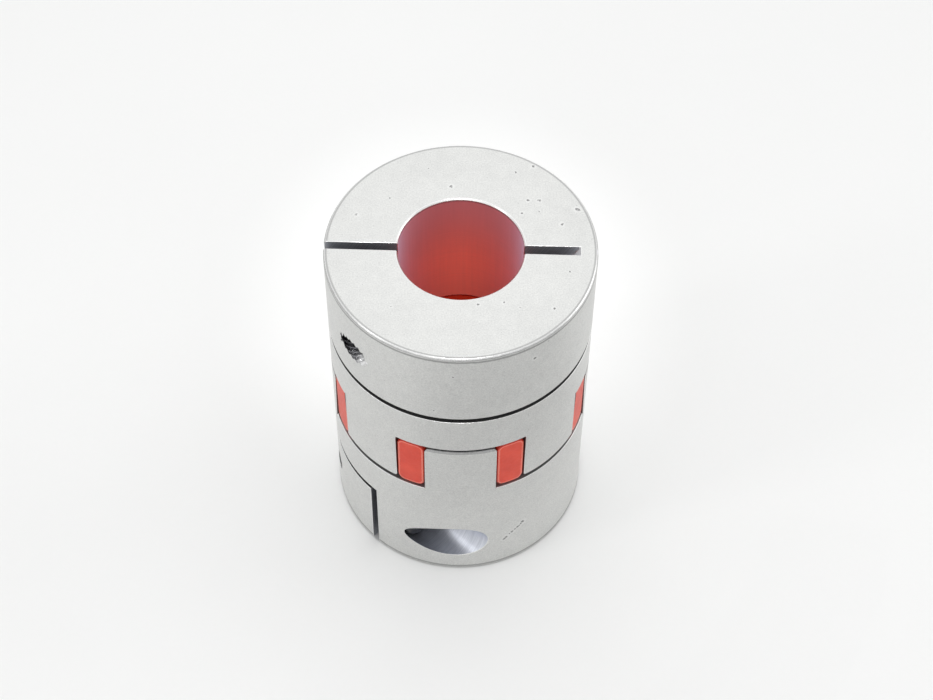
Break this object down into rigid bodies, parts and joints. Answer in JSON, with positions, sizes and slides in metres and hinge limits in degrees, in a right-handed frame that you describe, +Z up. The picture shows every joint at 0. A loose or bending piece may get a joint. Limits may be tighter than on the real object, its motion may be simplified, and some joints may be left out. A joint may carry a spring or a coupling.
{
  "type": "shaft coupling",
  "caption": "Clamp-type jaw coupling: two split aluminium hubs with interlocking jaws, a red elastomer spider between them and a cap screw across each slit.",
  "frame": {"origin": "middle of the lower clamp face, on the shaft axis", "axes": "+Z up the shaft axis, towards the upper clamp face; -Y through the jaw of the lower hub that faces the picture's viewer; +X to the right of it"},
  "size_m": [0.055, 0.055, 0.08],
  "materials": {
    "hub_aluminium": "fine matt anodised, bare in the bore and the holes",
    "spider_elastomer": "smooth moulded polyurethane, slightly see-through at the edges",
    "screw_steel": "black oxide"
  },
  "bodies": {
    "root": {"lower_hub": "hub_aluminium", "upper_hub": "hub_aluminium", "spider": "spider_elastomer", "lower_clamp_screw": "screw_steel", "upper_clamp_screw": "screw_steel"}
  },
  "joints": []
}
